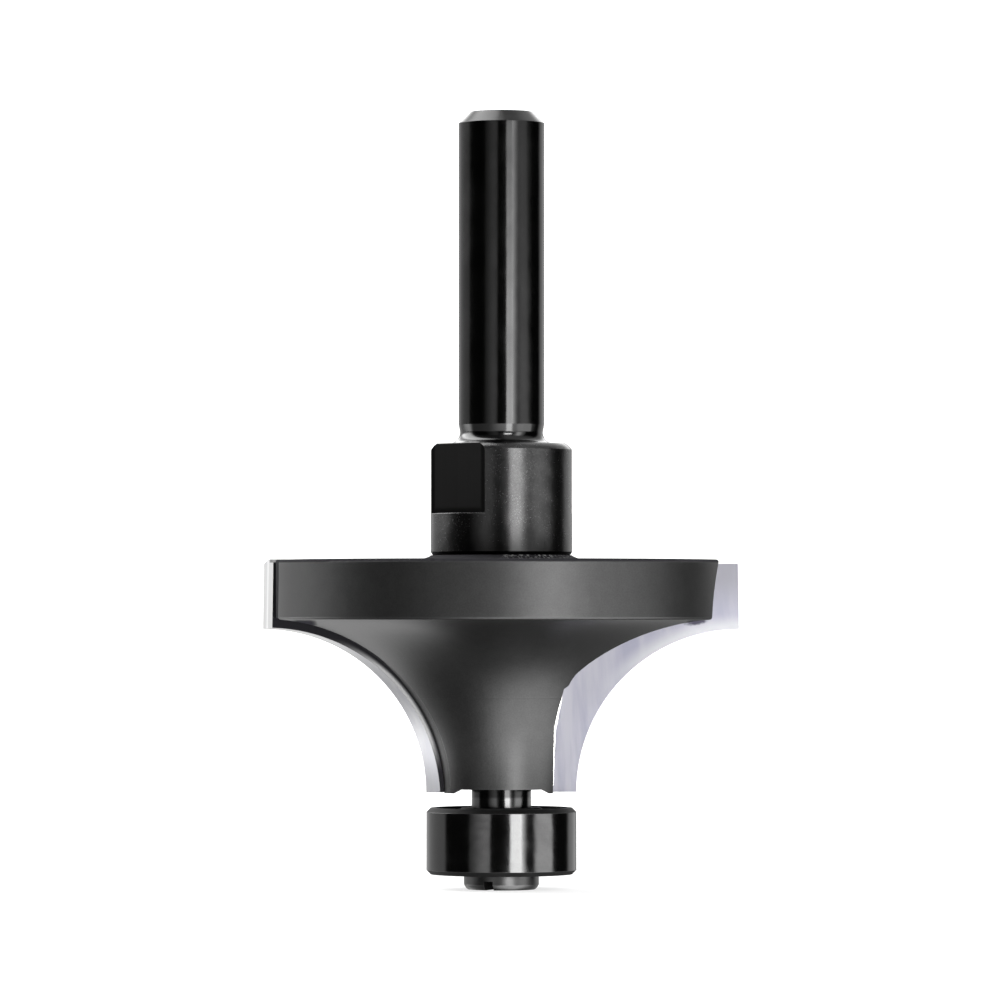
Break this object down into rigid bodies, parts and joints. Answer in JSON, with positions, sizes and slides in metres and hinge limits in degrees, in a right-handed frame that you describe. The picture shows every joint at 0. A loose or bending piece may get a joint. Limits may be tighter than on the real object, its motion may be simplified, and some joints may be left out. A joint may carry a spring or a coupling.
{
  "type": "router bit",
  "caption": "Corner-rounding router bit with two carbide-tipped wings, a full round flange, an 8 mm shank with spanner flats and a ball-bearing guide held by a slotted screw.",
  "frame": {"origin": "on the bit's axis, at the lower face of the bearing screw's head, the lowest point", "axes": "+Z along the bit's axis towards the shank's end; the two cutting edges lie near the X-Z plane, and the right wing's rake face looks towards -Y"},
  "size_m": [0.0444, 0.0426, 0.0725],
  "materials": {
    "black_steel": "glossy black oxide",
    "blasted_steel": "blasted, matte dark grey",
    "carbide": "fine ground tungsten carbide",
    "screw_steel": "black oxide",
    "black_bearing": "polished black oxide",
    "bearing_steel": "polished bearing steel",
    "shield_steel": "satin pressed sheet",
    "cage_steel": "pressed sheet steel"
  },
  "bodies": {
    "bit": {"arbor": "black_steel", "cutter_head": "blasted_steel", "carbide_tip_right": "carbide", "carbide_tip_left": "carbide", "bearing_screw": "screw_steel", "bearing_inner_ring": "bearing_steel"},
    "outer_ring": {"bearing_outer_ring": "black_bearing", "shield_lower": "shield_steel", "shield_upper": "shield_steel", "shield_ring_lower": "shield_steel", "shield_ring_upper": "shield_steel"},
    "cage": {"cage_upper": "cage_steel", "cage_lower": "cage_steel", "cage_rivets": "cage_steel"},
    "ball_1_body": {"ball_1": "bearing_steel"},
    "ball_2_body": {"ball_2": "bearing_steel"},
    "ball_3_body": {"ball_3": "bearing_steel"},
    "ball_4_body": {"ball_4": "bearing_steel"},
    "ball_5_body": {"ball_5": "bearing_steel"},
    "ball_6_body": {"ball_6": "bearing_steel"},
    "ball_7_body": {"ball_7": "bearing_steel"}
  },
  "joints": [
    {"name": "outer_ring_spin", "type": "hinge", "parent": "bit", "child": "outer_ring", "pos_m": [0, 0, 0.0045], "axis": [0, 0, 1], "continuous": true},
    {"name": "cage_spin", "type": "hinge", "parent": "bit", "child": "cage", "pos_m": [0, 0, 0.0045], "axis": [0, 0, 1], "continuous": true},
    {"name": "ball_1_roll", "type": "hinge", "parent": "cage", "child": "ball_1_body", "pos_m": [0.0047, 0, 0.0045], "axis": [0, 0, 1], "continuous": true},
    {"name": "ball_2_roll", "type": "hinge", "parent": "cage", "child": "ball_2_body", "pos_m": [0.00293, 0.00367, 0.0045], "axis": [0, 0, 1], "continuous": true},
    {"name": "ball_3_roll", "type": "hinge", "parent": "cage", "child": "ball_3_body", "pos_m": [-0.00105, 0.00458, 0.0045], "axis": [0, 0, 1], "continuous": true},
    {"name": "ball_4_roll", "type": "hinge", "parent": "cage", "child": "ball_4_body", "pos_m": [-0.00423, 0.00204, 0.0045], "axis": [0, 0, 1], "continuous": true},
    {"name": "ball_5_roll", "type": "hinge", "parent": "cage", "child": "ball_5_body", "pos_m": [-0.00423, -0.00204, 0.0045], "axis": [0, 0, 1], "continuous": true},
    {"name": "ball_6_roll", "type": "hinge", "parent": "cage", "child": "ball_6_body", "pos_m": [-0.00105, -0.00458, 0.0045], "axis": [0, 0, 1], "continuous": true},
    {"name": "ball_7_roll", "type": "hinge", "parent": "cage", "child": "ball_7_body", "pos_m": [0.00293, -0.00367, 0.0045], "axis": [0, 0, 1], "continuous": true}
  ],
  "couplings": [
    {"joint": "cage_spin", "follows": "outer_ring_spin", "ratio": 0.6383},
    {"joint": "ball_1_roll", "follows": "outer_ring_spin", "ratio": 1.6694},
    {"joint": "ball_2_roll", "follows": "outer_ring_spin", "ratio": 1.6694},
    {"joint": "ball_3_roll", "follows": "outer_ring_spin", "ratio": 1.6694},
    {"joint": "ball_4_roll", "follows": "outer_ring_spin", "ratio": 1.6694},
    {"joint": "ball_5_roll", "follows": "outer_ring_spin", "ratio": 1.6694},
    {"joint": "ball_6_roll", "follows": "outer_ring_spin", "ratio": 1.6694},
    {"joint": "ball_7_roll", "follows": "outer_ring_spin", "ratio": 1.6694}
  ]
}
